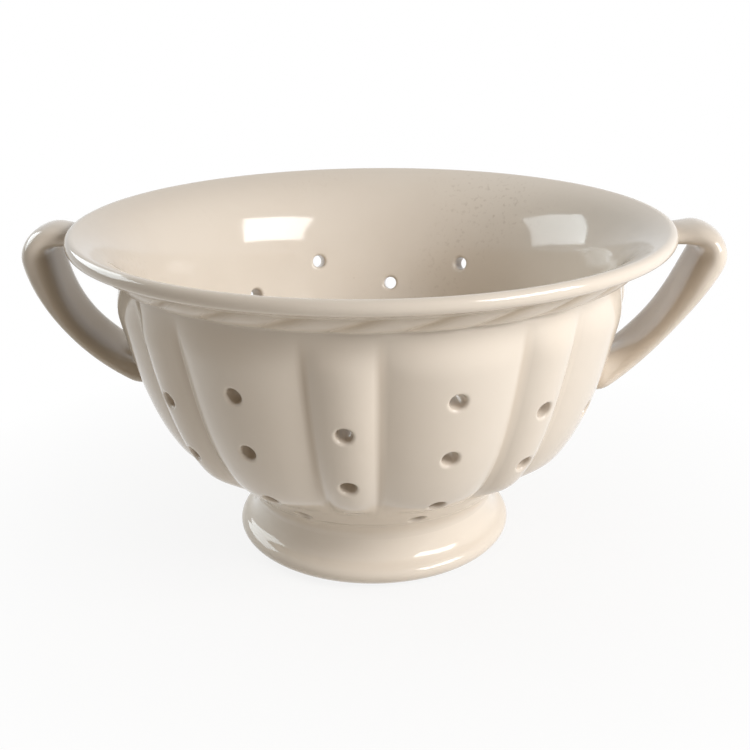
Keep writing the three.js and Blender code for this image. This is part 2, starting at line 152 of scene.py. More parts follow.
def wall_outside(angle, arc):
    place = wall_place(arc)
    share, swell, _ = lobe_share(angle, place[..., 1])
    return turned(angle, place + wall_outward(arc) * (share * swell)[..., None])


# The flare inside leaves the wall along its slope and sweeps up to the crest of the lip
lip_middle = np.array([rim_radius - lip_round, rim_height - lip_round])
lip_crest = lip_middle + lip_round * np.array([-math.sin(lip_lean), math.cos(lip_lean)])
flare_arc = arc_at(flare_start)
flare_foot = wall_place(flare_arc) - wall_outward(flare_arc) * wall_thickness
flare_leave = flare_foot + flare_pull * along(flare_arc, wall_arc, wall_slope)
flare_arrive = lip_crest - lip_pull * np.array([math.cos(lip_lean), math.sin(lip_lean)])
flare_line = [flare_foot, flare_leave, flare_arrive, lip_crest]


def wall_inside(angle, arc):
    deep = wall_thickness + floor_fillet_depth * np.clip(1 - arc / floor_fillet, 0, 1) ** 2
    upright = wall_place(arc) - wall_outward(arc) * deep[..., None]
    share = flare_split * np.clip((arc - flare_arc) / (wall_arc[-1] - flare_arc), 0, 1)
    flared = bezier(flare_line, share)
    return turned(angle, np.where((arc > flare_arc)[..., None], flared, upright))


def floor_under(angle, radius):
    return turned(angle, np.stack([radius, np.full_like(radius, bowl_base)], -1))


def floor_upper(angle, radius):
    return turned(angle, np.stack([radius, np.full_like(radius, floor_top)], -1))


class Shell:
    """Points and faces of one closed surface, gathered ring by ring, with marks for how the glaze lies and
    where shade is painted on it.
    """

    def __init__(self):
        self.points, self.faces, self.count = [], [], 0
        self.marks = {"bare": [], "pool": [], "stain": []}

    def ring(self, points, **marks):
        self.points.append(points)
        for mark, values in self.marks.items():
            values.append(np.broadcast_to(marks.get(mark, 0.0), len(points)))
        self.count += len(points)
        return np.arange(self.count - len(points), self.count)

    def bridge(self, a, b):
        for k in range(len(a)):
            n = (k + 1) % len(a)
            self.faces.append((int(a[k]), int(a[n]), int(b[n]), int(b[k])))

    def mesh(self, name):
        mesh = bpy.data.meshes.new(name)
        mesh.from_pydata((np.concatenate(self.points) * millimetre).tolist(), [], self.faces)
        work = bmesh.new()
        work.from_mesh(mesh)
        bmesh.ops.recalc_face_normals(work, faces=work.faces)
        work.to_mesh(mesh)
        work.free()
        mesh.shade_smooth()
        for mark, values in self.marks.items():
            layer = mesh.attributes.new(mark, "FLOAT", "POINT")
            layer.data.foreach_set("value", np.concatenate(values).astype(np.float32))
        return mesh


def piece_object(name, mesh, material):
    piece = bpy.data.objects.new(name, mesh)
    bpy.context.scene.collection.objects.link(piece)
    mesh.materials.clear()
    mesh.materials.append(material)
    return piece


bowl = Shell()
spoke_steps = (0.3, 0.6, 0.85)
hole_edge_rings = 6


def grid(surface, stations):
    rings = []
    for station in stations:
        points = surface(column_angles, np.full(columns, float(station)))
        # On the outer wall, painted shade darkens and dulls the glaze in the creases between the lobes
        crease = lobe_share(column_angles, points[:, 2])[2] if surface is wall_outside else 0.0
        rings.append(bowl.ring(points, pool=crease, stain=float(surface is wall_inside)))
    return rings


def pierce(sides, stations, row, column, reach, girths):
    """Joins two surfaces by a round hole in the block of cells around a row and column."""
    rows, across = reach
    edge = [(row - rows, column + k) for k in range(-across, across)]
    edge += [(row + k, column + across) for k in range(-rows, rows)]
    edge += [(row + rows, column - k) for k in range(-across, across)]
    edge += [(row - k, column - across) for k in range(-rows, rows)]
    middle = column_angles[0] + column * math.tau / columns
    edge_angle = np.array([column_angles[0] + c * math.tau / columns for _, c in edge])
    edge_station = np.array([stations[r] for r, _ in edge])
    turn = np.arctan2(edge_station - stations[row], (edge_angle - middle) * girths[0])
    centre = [surface(np.array([middle]), np.array([stations[row]])) for _, surface in sides]
    depth = np.linalg.norm(centre[0] - centre[1])
    outer = hole_radius + hole_lip

    def place(radius, share):
        girth = girths[0] + (girths[1] - girths[0]) * share
        return middle + radius * np.cos(turn) / girth, stations[row] + radius * np.sin(turn)

    rings = []
    for side in (0, 1):
        corners, surface = sides[side]
        rims = [np.array([corners[r][c % columns] for r, c in edge])]
        end_angle, end_station = place(outer, side)
        for step in spoke_steps:
            angle = edge_angle + (end_angle - edge_angle) * step
            station = edge_station + (end_station - edge_station) * step
            rims.append(bowl.ring(surface(angle, station)))
        # Painted shade: the rounded mouth darkens toward clay brown on its way into the bore
        for quarter in np.linspace(0, math.pi / 2, hole_edge_rings):
            sunk = hole_lip * (1 - math.cos(quarter)) / depth
            share = sunk if side == 0 else 1 - sunk
            angle, station = place(outer - hole_lip * math.sin(quarter), share)
            a, b = sides[0][1](angle, station), sides[1][1](angle, station)
            rims.append(bowl.ring(a + (b - a) * share, bare=hole_bareness * math.sin(quarter) ** 3))
        rings += rims if side == 0 else rims[::-1]
    for a, b in zip(rings, rings[1:]):
        bowl.bridge(a, b)
    around = range(column - across, column + across)
    return {(r, c % columns) for r in range(row - rows, row + rows) for c in around}


def tile(rings, opened=frozenset()):
    for row, (a, b) in enumerate(zip(rings, rings[1:])):
        for c in range(columns):
            if (row, c) not in opened:
                n = (c + 1) % columns
                bowl.faces.append((int(a[c]), int(a[n]), int(b[n]), int(b[c])))


# Rows of the wall, spaced so that every row of holes falls on one. Low down, where the columns are narrow, a
# hole takes up one more on each side.
row_spacing = 2.7
fewest_rows = 4
hole_rows = 3
hole_columns = 3
low_hole_columns = 4
low_hole_limit = 50.0
row_marks = [0.0] + [arc_at(h) for h in sorted(wide_hole_heights + narrow_hole_heights)] + [wall_arc[-1]]
wall_rows = [0.0]
for low, high in zip(row_marks, row_marks[1:]):
    steps = max(fewest_rows, math.ceil((high - low) / row_spacing))
    wall_rows += [low + (high - low) * k / steps for k in range(1, steps + 1)]
outer_rings = grid(wall_outside, wall_rows)
inner_rings = grid(wall_inside, wall_rows)
wall_sides = ((outer_rings, wall_outside), (inner_rings, wall_inside))
wall_opened = set()
for heights, first in ((narrow_hole_heights, 0), (wide_hole_heights, lobe_columns // 2)):
    for height in heights:
        row = int(np.argmin(np.abs(np.array(wall_rows) - arc_at(height))))
        reach = (hole_rows, low_hole_columns if height < low_hole_limit else hole_columns)
        girths = []
        for _, surface in wall_sides:
            lobe_back = surface(column_angles[[first]], np.array([wall_rows[row]]))[0]
            girths.append(float(np.linalg.norm(lobe_back[:2])))
        for column in range(first, columns, lobe_columns):
            from_handle = abs((column_angles[column] + math.pi / 2) % math.pi - math.pi / 2)
            if height < handle_clear_height or from_handle > handle_clearance:
                wall_opened |= pierce(wall_sides, wall_rows, row, column, reach, girths)
tile(outer_rings, wall_opened)
tile(inner_rings, wall_opened)

# Floor, with a ring of holes and one in the middle
rows_inside_holes = [5.0, 8.0, 12.0, 15.5]
rows_outside_holes = [37.0, 41.0, 45.5]
rows_under_wall = [50.0, 54.0]
floor_row_spacing = 2.4
floor_hole_reach = (3, 10)
first_floor_hole = 8
drain_rings = 13
hole_block = range(-floor_hole_reach[0], floor_hole_reach[0] + 1)
rows_at_holes = [floor_hole_ring + floor_row_spacing * k for k in hole_block]
floor_rows = rows_inside_holes + rows_at_holes + rows_outside_holes
under_rings = grid(floor_under, floor_rows)
upper_rings = grid(floor_upper, floor_rows)
floor_sides = ((under_rings, floor_under), (upper_rings, floor_upper))
floor_opened = set()
floor_hole_row = floor_rows.index(floor_hole_ring)
floor_girths = [floor_hole_ring, floor_hole_ring]
for column in range(first_floor_hole, columns, lobe_columns):
    floor_opened |= pierce(floor_sides, floor_rows, floor_hole_row, column, floor_hole_reach, floor_girths)
tile(under_rings, floor_opened)
tile(upper_rings, floor_opened)
tile([under_rings[-1]] + grid(floor_under, rows_under_wall) + [outer_rings[0]])
tile([upper_rings[-1], inner_rings[0]])
drain = [upper_rings[0]]
# Painted shade: the middle hole darkens toward clay brown in its bore
for quarter in np.linspace(0, math.pi, drain_rings)[1:-1]:
    radius = hole_radius + hole_lip * (1 - math.sin(quarter))
    sunk = hole_lip * (1 - abs(math.cos(quarter)))
    height = floor_top - sunk if quarter < math.pi / 2 else bowl_base + sunk
    points = turned(column_angles, np.tile([radius, height], (columns, 1)))
    drain.append(bowl.ring(points, bare=hole_bareness * math.sin(quarter) ** 3))
tile(drain + [under_rings[0]])

# Cove, rolled lip and flare, between the tops of the outer and the inner wall
cove_rings = 11
roll_rings = 21
flare_rings = 21
lip_base = lip_middle - (0, lip_round)
cove_line = [(wall_top_radius, wall_top), cove_bend, lip_base]
profile = list(bezier(cove_line, np.linspace(0, 1, cove_rings)[1:-1]))
for bend in np.linspace(-math.pi / 2, math.pi / 2 + lip_lean, roll_rings):
    profile.append(lip_middle + lip_round * np.array([math.cos(bend), math.sin(bend)]))
profile += list(bezier(flare_line, np.linspace(1, flare_split, flare_rings)[1:-1]))
lip_stains = np.linspace(-1, 1, len(profile)).clip(0, 1)
lip_rings = []
for place, stain in zip(profile, lip_stains):
    lip_rings.append(bowl.ring(turned(column_angles, np.tile(place, (columns, 1))), stain=stain))
tile([outer_rings[-1]] + lip_rings + [inner_rings[-1]])

# Ivory glaze: a little cloudy, with a few faint specks, and clay brown where it is wiped off the foot.
# Painted shade darkens, warms and dulls it in the hollows and browns the bores of the holes. A noise scale
# says how many patches go to a metre.
clay_brown = (0.27, 0.18, 0.11, 1)
glaze_ior = 1.48
ripple_strength = 0.5
mottle_depth = 0.3
hollow_shade_dulling = 0.5
dulled_roughness = 0.4
glaze = bpy.data.node_groups.new("ivory_glaze", "ShaderNodeTree")
for name, kind in (
    ("Ivory", "NodeSocketColor"),
    ("Thick_And_Shade", "NodeSocketColor"),
    ("Clay", "NodeSocketColor"),
    ("Specks", "NodeSocketFloat"),
    ("Gloss", "NodeSocketFloat"),
):
    glaze.interface.new_socket(name, in_out="INPUT", socket_type=kind)
for name, kind in (
    ("Color", "NodeSocketColor"),
    ("Roughness", "NodeSocketFloat"),
    ("Specular", "NodeSocketFloat"),
    ("Height", "NodeSocketFloat"),
):
    glaze.interface.new_socket(name, in_out="OUTPUT", socket_type=kind)


def wire(tree, kind, inputs=(), **settings):
    """Adds a node with its settings, and links or sets its inputs."""
    node = tree.nodes.new(kind)
    for name, value in settings.items():
        setattr(node, name, value)
    for name, value in dict(inputs).items():
        if isinstance(value, bpy.types.NodeSocket):
            tree.links.new(value, node.inputs[name])
        else:
            node.inputs[name].default_value = value
    return node


def noise(scale, detail, roughness=0.5):
    settings = {"Vector": spot, "Scale": scale, "Detail": detail, "Roughness": roughness}
    return wire(glaze, "ShaderNodeTexNoise", settings).outputs[0]


def mapped(value, low, high, to_low=0.0, to_high=1.0):
    limits = {"From Min": low, "From Max": high, "To Min": to_low, "To Max": to_high}
    return wire(glaze, "ShaderNodeMapRange", {"Value": value, **limits}).outputs[0]


def worked(tree, operation, a, b=0.0):
    return wire(tree, "ShaderNodeMath", {0: a, 1: b}, operation=operation).outputs[0]


def tinted(share, a, b):
    mix = wire(glaze, "ShaderNodeMix", {"Factor": share, "A": a, "B": b}, data_type="RGBA")
    return mix.outputs["Result"]


given = wire(glaze, "NodeGroupInput").outputs
spot = wire(glaze, "ShaderNodeTexCoord").outputs["Object"]
bare_edge = wire(glaze, "ShaderNodeAttribute", attribute_name="bare").outputs["Fac"]
hollow_shaded = wire(glaze, "ShaderNodeAttribute", attribute_name="pool").outputs["Fac"]
stained = wire(glaze, "ShaderNodeAttribute", attribute_name="stain").outputs["Fac"]
clouding = noise(scale=16.0, detail=4.0, roughness=0.6)
cloud = mapped(clouding, low=0.42, high=0.72, to_low=0.0, to_high=0.35)
# Painted shade: the glaze darkens toward its second colour in the marked hollows, as well as in random
# clouds
thick_and_shade = worked(glaze, "MAXIMUM", cloud, hollow_shaded)
body = tinted(thick_and_shade, given["Ivory"], given["Thick_And_Shade"])
fine_mottle = mapped(noise(scale=430.0, detail=2.0), low=0.56, high=0.74)
mottle_patch = mapped(noise(scale=11.0, detail=1.0), low=0.5, high=0.68)
mottle = worked(glaze, "MULTIPLY", fine_mottle, mottle_patch)
mottle_share = worked(glaze, "MULTIPLY", mottle, worked(glaze, "MULTIPLY", stained, mottle_depth))
mottled = tinted(mottle_share, body, given["Clay"])
speck = wire(glaze, "ShaderNodeTexVoronoi", {"Vector": spot, "Scale": 150.0}).outputs["Distance"]
speck_limit = mapped(noise(scale=45.0, detail=1.0), low=0.66, high=0.8, to_low=0.0, to_high=0.1)
speck_share = worked(glaze, "MULTIPLY", worked(glaze, "LESS_THAN", speck, speck_limit), given["Specks"])
specked = tinted(speck_share, mottled, given["Clay"])
color = tinted(bare_edge, specked, given["Clay"])
dulled_share = worked(glaze, "MAXIMUM", bare_edge, worked(glaze, "MULTIPLY", hollow_shaded, hollow_shade_dulling))
haze = mapped(noise(scale=130.0, detail=2.0), low=0.3, high=0.7, to_low=-0.02, to_high=0.04)
dulling = worked(glaze, "ADD", haze, worked(glaze, "MULTIPLY", dulled_share, dulled_roughness))
rough = worked(glaze, "ADD", given["Gloss"], dulling)
shine = mapped(hollow_shaded, low=0.0, high=1.0, to_low=0.5, to_high=0.15)
ripple = noise(scale=38.0, detail=2.0, roughness=0.4)
wire(glaze, "NodeGroupOutput", {"Color": color, "Roughness": rough, "Specular": shine, "Height": ripple})


def glazed(name, ivory, thick_and_shade, specks, gloss, ripple_depth):
    material = bpy.data.materials.new(name)
    material.use_nodes = True
    tree = material.node_tree
    coat = tree.nodes["Principled BSDF"]
    skin = wire(tree, "ShaderNodeGroup", node_tree=glaze)
    values = {"Ivory": ivory, "Thick_And_Shade": thick_and_shade, "Clay": clay_brown, "Specks": specks, "Gloss": gloss}
    for socket, value in values.items():
        skin.inputs[socket].default_value = value
    ripples = {"Height": skin.outputs["Height"], "Strength": ripple_strength, "Distance": ripple_depth}
    bump = wire(tree, "ShaderNodeBump", ripples)
    tree.links.new(skin.outputs["Color"], coat.inputs["Base Color"])
    tree.links.new(skin.outputs["Roughness"], coat.inputs["Roughness"])
    tree.links.new(skin.outputs["Specular"], coat.inputs["Specular IOR Level"])
    tree.links.new(bump.outputs["Normal"], coat.inputs["Normal"])
    coat.inputs["IOR"].default_value = glaze_ior
    return material


bowl_glaze = glazed(
    "bowl_glaze",
    ivory=(0.80, 0.735, 0.655, 1),
    thick_and_shade=(0.73, 0.65, 0.555, 1),
    specks=0.08,
    gloss=0.08,
    ripple_depth=0.0004,
)
bowl_piece = piece_object("glazed_bowl", bowl.mesh("glazed_bowl"), bowl_glaze)
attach(bowl_piece, "root")
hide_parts("bowl")

# Rope band. A rope of clay laid in the cove under the lip while the bowl was leather hard, and pressed on,
# so its two plies lie as long low beads whose slanting grooves the glaze half fills. Lengths in this section
# are metres.
rope_steps = 560
rope_sides = 36
groove_sharpness = 1.5
rope = bpy.data.node_groups.new("rope_band", "GeometryNodeTree")
rope.interface.new_socket("Geometry", in_out="OUTPUT", socket_type="NodeSocketGeometry")
# The rope glaze's darker second colour is painted shade in the grooves
rope_glaze = glazed(
    "rope_glaze",
    ivory=(0.79, 0.72, 0.635, 1),
    thick_and_shade=(0.62, 0.53, 0.42, 1),
    specks=0.1,
    gloss=0.2,
    ripple_depth=0.0004,
)
rope_sizes = {
    "Strands": ("NodeSocketFloat", 28.0),
    "Plies": ("NodeSocketFloat", 2.0),
    "Ring Radius": ("NodeSocketFloat", 0.1162),
    "Ring Height": ("NodeSocketFloat", 0.1397),
    "Half Depth": ("NodeSocketFloat", 0.0040),
    "Half Height": ("NodeSocketFloat", 0.0050),
    "Back Depth": ("NodeSocketFloat", 0.0005),
    "Lean": ("NodeSocketFloat", 0.0032),
    "Groove": ("NodeSocketFloat", 0.0016),
    "Glaze": ("NodeSocketMaterial", rope_glaze),
}
for name, (kind, _) in rope_sizes.items():
    rope.interface.new_socket(name, in_out="INPUT", socket_type=kind)
size = wire(rope, "NodeGroupInput").outputs
ring_sizes = {"Resolution": rope_steps, "Radius": size["Ring Radius"]}
ring = wire(rope, "GeometryNodeCurvePrimitiveCircle", ring_sizes)
section_sizes = {"Resolution": rope_sides, "Radius": size["Half Height"]}
section = wire(rope, "GeometryNodeCurvePrimitiveCircle", section_sizes)
sweep = {"Curve": ring.outputs[0], "Profile Curve": section.outputs[0]}
swept = wire(rope, "GeometryNodeCurveToMesh", sweep)
here = wire(rope, "ShaderNodeSeparateXYZ", {0: wire(rope, "GeometryNodeInputPosition").outputs[0]}).outputs
x_square = worked(rope, "MULTIPLY", here[0], here[0])
y_square = worked(rope, "MULTIPLY", here[1], here[1])
from_axis = worked(rope, "SQRT", worked(rope, "ADD", x_square, y_square))
ring_angle = worked(rope, "ARCTAN2", here[1], here[0])
rope_turn = worked(rope, "ARCTAN2", here[2], worked(rope, "SUBTRACT", from_axis, size["Ring Radius"]))
lay = worked(
    rope,
    "SUBTRACT",
    worked(rope, "MULTIPLY", size["Strands"], ring_angle),
    worked(rope, "MULTIPLY", size["Plies"], rope_turn),
)
bead = worked(rope, "ABSOLUTE", worked(rope, "SINE", worked(rope, "DIVIDE", lay, 2.0)))
turn_cosine = worked(rope, "COSINE", rope_turn)
outer_face = worked(rope, "MAXIMUM", turn_cosine, 0.0)
valley = worked(rope, "POWER", worked(rope, "SUBTRACT", 1.0, bead), groove_sharpness)
dip = worked(rope, "MULTIPLY", valley, outer_face)
groove = worked(rope, "MULTIPLY", dip, size["Groove"])
turn_sine = worked(rope, "SINE", rope_turn)
face = worked(rope, "MULTIPLY", worked(rope, "SUBTRACT", size["Half Depth"], groove), outer_face)
back = worked(rope, "MULTIPLY", size["Back Depth"], worked(rope, "MINIMUM", turn_cosine, 0.0))
lean = worked(rope, "MULTIPLY", size["Lean"], turn_sine)
tall = worked(rope, "MULTIPLY", worked(rope, "SUBTRACT", size["Half Height"], groove), turn_sine)
leaning = worked(rope, "ADD", size["Ring Radius"], lean)
rope_reach = worked(rope, "ADD", leaning, worked(rope, "ADD", face, back))
laid = wire(
    rope,
    "ShaderNodeCombineXYZ",
    {
        "X": worked(rope, "MULTIPLY", rope_reach, worked(rope, "COSINE", ring_angle)),
        "Y": worked(rope, "MULTIPLY", rope_reach, worked(rope, "SINE", ring_angle)),
        "Z": worked(rope, "ADD", size["Ring Height"], tall),
    },
)
# Painted shade: the grooves are marked, so that the glaze darkens and dulls in them
hollow_shade_mark = {"Geometry": swept.outputs[0], "Name": "pool", "Value": dip}
hollow_shading = wire(rope, "GeometryNodeStoreNamedAttribute", hollow_shade_mark)
twist = {"Geometry": hollow_shading.outputs[0], "Position": laid.outputs[0]}
twisted = wire(rope, "GeometryNodeSetPosition", twist)
realized = wire(rope, "GeometryNodeRealizeInstances", {"Geometry": twisted.outputs[0]})
smoothed = wire(rope, "GeometryNodeSetShadeSmooth", {"Geometry": realized.outputs[0]})
dressing = {"Geometry": smoothed.outputs[0], "Material": size["Glaze"]}
dressed = wire(rope, "GeometryNodeSetMaterial", dressing)
wire(rope, "NodeGroupOutput", {"Geometry": dressed.outputs[0]})


def grown(name, tree, values):
    """The plain mesh that a node tree makes, as a new object."""
    seed = bpy.data.objects.new(name + "_seed", bpy.data.meshes.new(name + "_seed"))
    bpy.context.scene.collection.objects.link(seed)
    maker = seed.modifiers.new(name, "NODES")
    maker.node_group = tree
    for item in tree.interface.items_tree:
        if item.in_out == "INPUT":
            maker[item.identifier] = values[item.name][1]
    ready = seed.evaluated_get(bpy.context.evaluated_depsgraph_get())
    mesh = bpy.data.meshes.new_from_object(ready)
    mesh.name = name
    bpy.data.objects.remove(seed)
    piece = bpy.data.objects.new(name, mesh)
    bpy.context.scene.collection.objects.link(piece)
    return piece


rope_piece = grown("glazed_rope_band", rope, rope_sizes)
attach(rope_piece, "root")
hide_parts("rope_band")

# Foot. A hollow ring, thrown by itself and glazed with the bowl: a low round edge and a hollow flank that
# runs up into the neck. Its standing ring is flat and wiped clean of glaze, so a brown line shows below.
foot_radius = 64.6
foot_inner = 48.0
foot_height = 24.0
foot_edge_rise = 6.6
foot_undercut = 11.5
foot_shoulder = (7.4, 4.8)
foot_shoulder_turn = math.radians(56.0)
foot_chamfer = 1.0
foot_middle_height = 12.0
standing_middle = 51.0
foot_top_middle = 53.0
edge_rings = 22
shoulder_rings = 12
flank_rings = 14
wiped_height = 1.0


def oval(middle, reach, turns):
    """Points on an upright oval, by their turns from its outer end upwards."""
    circle = [(math.cos(turn), math.sin(turn)) for turn in turns]
    return [np.array([middle[0] + reach[0] * x, middle[1] + reach[1] * z]) for x, z in circle]


def ring_piece(name, profile, wiped=0.0):
    """A closed ring turned about the bowl's axis from a profile, wiped clean of glaze up to a height."""
    shell = Shell()
    rings = []
    for place in profile:
        bare = max(0.0, 1 - place[1] / wiped) if wiped else 0.0
        rings.append(shell.ring(turned(column_angles, np.tile(place, (columns, 1))), bare=bare))
    for a, b in zip(rings, rings[1:] + rings[:1]):
        shell.bridge(a, b)
    return shell.mesh(name)


foot_profile = [np.array([r, 0.0]) for r in (foot_inner + foot_chamfer, standing_middle)]
edge_middle = (foot_radius - foot_undercut, foot_edge_rise)
edge_turns = np.linspace(-math.pi / 2, 0, edge_rings)
foot_profile += oval(edge_middle, (foot_undercut, foot_edge_rise), edge_turns)
shoulder_middle = (foot_radius - foot_shoulder[0], foot_edge_rise)
shoulder_turns = np.linspace(0, foot_shoulder_turn, shoulder_rings)[1:]
foot_profile += oval(shoulder_middle, foot_shoulder, shoulder_turns)
leave = foot_profile[-1]
leave_rise = foot_shoulder[1] * math.cos(foot_shoulder_turn)
leave_slope = leave_rise / (foot_shoulder[0] * math.sin(foot_shoulder_turn))
flank_bend = (neck_radius, leave[1] + (leave[0] - neck_radius) * leave_slope)
flank_line = [leave, flank_bend, (neck_radius, foot_height)]
foot_profile += list(bezier(flank_line, np.linspace(0, 1, flank_rings)[1:]))
foot_profile += [np.array([r, foot_height]) for r in (foot_top_middle, foot_inner)]
foot_profile += [np.array([foot_inner, z]) for z in (foot_middle_height, foot_chamfer)]
foot_glaze = glazed(
    "foot_glaze",
    ivory=(0.80, 0.735, 0.655, 1),
    thick_and_shade=(0.73, 0.65, 0.555, 1),
    specks=0.08,
    gloss=0.07,
    ripple_depth=0.0005,
)
foot_piece = piece_object("glazed_foot", ring_piece("glazed_foot", foot_profile, wiped_height), foot_glaze)
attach(foot_piece, "root")
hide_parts("foot")

# Foot lute. The bed of slip that joins foot and bowl, wiped round with a finger, so that the neck is one
# hollow curve under the glaze.
lute_base = 19.0
lute_wall_arc = 7.5
lute_foot_pull = 5.0
lute_wall_pull = 6.0
lute_inner = 54.0
lute_inner_heights = (28.0, 21.0)
lute_rings = 17
lute_low = np.array([neck_radius, lute_base])
lute_high = wall_place(lute_wall_arc)
lute_leave = lute_high - lute_wall_pull * along(lute_wall_arc, wall_arc, wall_slope)
lute_line = [lute_low, lute_low + (0, lute_foot_pull), lute_leave, lute_high]
lute_profile = list(bezier(lute_line, np.linspace(0, 1, lute_rings)))
lute_profile += [np.array([lute_inner, z]) for z in lute_inner_heights]
slip_glaze = glazed(
    "slip_glaze",
    ivory=(0.80, 0.735, 0.655, 1),
    thick_and_shade=(0.73, 0.65, 0.555, 1),
    specks=0.08,
    gloss=0.08,
    ripple_depth=0.0004,
)
neck_piece = piece_object("glazed_foot_lute", ring_piece("glazed_foot_lute", lute_profile), slip_glaze)
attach(neck_piece, "root")
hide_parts("foot_lute")

# Handles. Straps of clay laid under the lip, bent over to a loop for two fingers and pressed to the wall at
# the lower end, thick at the bend and thinner down the limb. The tip is thumbed down round, and the slip
# that beds both ends is smoothed into the strap. Set by eye, the left one lands a little higher.
arm_start = (121.0, 141.5)
arm_knee = 129.0
arm_height = 144.5
arm_size = (27.0, 8.0)
bend_radius = 7.8
loop_size = (39.3, 14.0)
limb_thickness = 7.5
landing_width = 42.0
landing_rise = 1.5
tip_length = 10.0
tip_roundness = 0.8
squareness = 2.2
dish_depth = 1.4
bed_depth = 3.0
bed_spread = 1.6
bed_reach = 5.0
crook_spread = 5.5
crook_reach = 9.0
tip_clearance = 15.0
seat_drop = 10.0
# Painted shade in the hollow of each handle, darkest beside the ridge in front
ridge_aside = 0.45
ridge_spread = 0.4
hollow_steepness = 1.6
least_hollow_shade = 0.4
arm_points = 40
limb_points = 120
strap_rings = 110
strap_sides = 64
strap_turns = np.linspace(0, math.tau, strap_sides, endpoint=False)
strap_up = np.cos(strap_turns)
strap_across = np.sin(strap_turns)


def eased(value, low, high):
    share = np.clip((value - low) / (high - low), 0, 1)
    return share * share * (3 - 2 * share)


def squared(share):
    return np.sign(share) * np.abs(share) ** (2 / squareness)


def wall_radius(points):
    """Radius of the outside of the lobed wall, level with some points."""
    arc = arc_at(points[..., 2])
    share, swell, _ = lobe_share(np.arctan2(points[..., 1], points[..., 0]), points[..., 2])
    return wall_place(arc)[..., 0] + wall_outward(arc)[..., 0] * share * swell


def seated(points):
    """The points, with none of them deeper in the wall than the middle of it."""
    radius = np.hypot(points[..., 0], points[..., 1])
    deepest = np.where(points[..., 2] < wall_top - seat_drop, wall_radius(points) - bed_depth, 0)
    return points * np.stack([np.maximum(deepest / radius, 1)] * 2 + [np.ones_like(radius)], -1)


class Strap:
    """A handle on the right side, by its way along the strap and its turn around the section."""

    def __init__(self, bend_middle, bend_turn, limb_pull, landing_height):
        bend_end = math.pi / 2 - math.radians(bend_turn)
        arm_line = [arm_start, (arm_knee, arm_height), (bend_middle, arm_height)]
        arm = bezier(arm_line, np.linspace(0, 1, arm_points))
        bend_turns = np.linspace(math.pi / 2, bend_end, arm_points)
        bend = oval((bend_middle, arm_height - bend_radius), (bend_radius, bend_radius), bend_turns)
        knee = bend[-1] + limb_pull * np.array([math.sin(bend_end), -math.cos(bend_end)])
        wall_arc_there = arc_at(landing_height)
        landing = wall_place(wall_arc_there) + wall_outward(wall_arc_there) * landing_rise
        limb = bezier([bend[-1], knee, landing], np.linspace(0, 1, limb_points))
        self.line = np.concatenate([arm, bend[1:], limb[1:]])
        self.arc = np.concatenate([[0], np.cumsum(np.linalg.norm(np.diff(self.line, axis=0), axis=1))])
        self.slope = np.gradient(self.line, self.arc, axis=0)
        self.arm_end = self.arc[arm_points - 1]
        self.loop_end = self.arc[2 * (arm_points - 1)]
        self.end = self.arc[-1]
        self.limb_middle = (self.loop_end + self.end) / 2

    def held(self, arc):
        """One where the hollow of the inner side runs, none at the ends."""
        return eased(arc, self.arm_end / 2, self.arm_end) * (1 - eased(arc, self.limb_middle, self.end))

    def section(self, arc, spread=0.0):
        """The ring of points around the strap, spread outwards where it beds on the wall."""
        middle = along(arc, self.arc, self.line)
        slope = along(arc, self.arc, self.slope)
        full = eased(arc, self.arm_end / 2, self.loop_end)
        width = arm_size[0] + (loop_size[0] - arm_size[0]) * full
        width += (landing_width - width) * eased(arc, self.limb_middle, self.end)
        thickness = arm_size[1] + (loop_size[1] - arm_size[1]) * full
        thickness += (limb_thickness - thickness) * eased(arc, self.loop_end, self.limb_middle)
        tip = np.clip(1 - (self.end - arc) / tip_length, 0, 1)
        width *= math.sqrt(1 - tip_roundness * tip**2)
        up, across = squared(strap_up), squared(strap_across)
        lift = thickness / 2 * up * np.where(up > 0, math.sqrt(1 - tip**2), 1)
        lift += np.where(up < 0, dish_depth * self.held(arc) * -up * (1 - across**2) ** 2, 0)
        lift += spread * strap_up
        aside = width / 2 * across + spread * strap_across
        return np.stack([middle[0] - slope[1] * lift, aside, middle[1] + slope[0] * lift], -1)

    def bedded(self, arc):
        """How far the skin spreads on the wall, most of all in the crook above the landing."""
        skin = self.section(arc)
        crook = np.clip(-strap_up, 0, 1)
        gap = np.hypot(skin[:, 0], skin[:, 1]) - wall_radius(skin)
        near = np.clip(1 - gap / (bed_reach + crook_reach * crook), 0, 1)
        clear_of_tip = 1 - eased(arc, self.end - tip_clearance, self.end)
        fading = eased(arc, self.loop_end, self.limb_middle) * clear_of_tip
        return fading * near**2 * (bed_spread + crook_spread * crook)

    def pool(self, arc, side):
        """How much shade is painted in the hollow, most of all beside the ridge in front."""
        beside_ridge = np.exp(-(((strap_across + side * ridge_aside) / ridge_spread) ** 2))
        hollow = np.clip(-hollow_steepness * strap_up, 0, 1)
        return self.held(arc) * hollow * (least_hollow_shade + (1 - least_hollow_shade) * beside_ridge)


# Where shade is painted in the handles' hollows, their glaze darkens to its dark brown second colour
handle_glaze = glazed(
    "handle_glaze",
    ivory=(0.79, 0.72, 0.635, 1),
    thick_and_shade=(0.24, 0.18, 0.12, 1),
    specks=0.1,
    gloss=0.08,
    ripple_depth=0.0005,
)
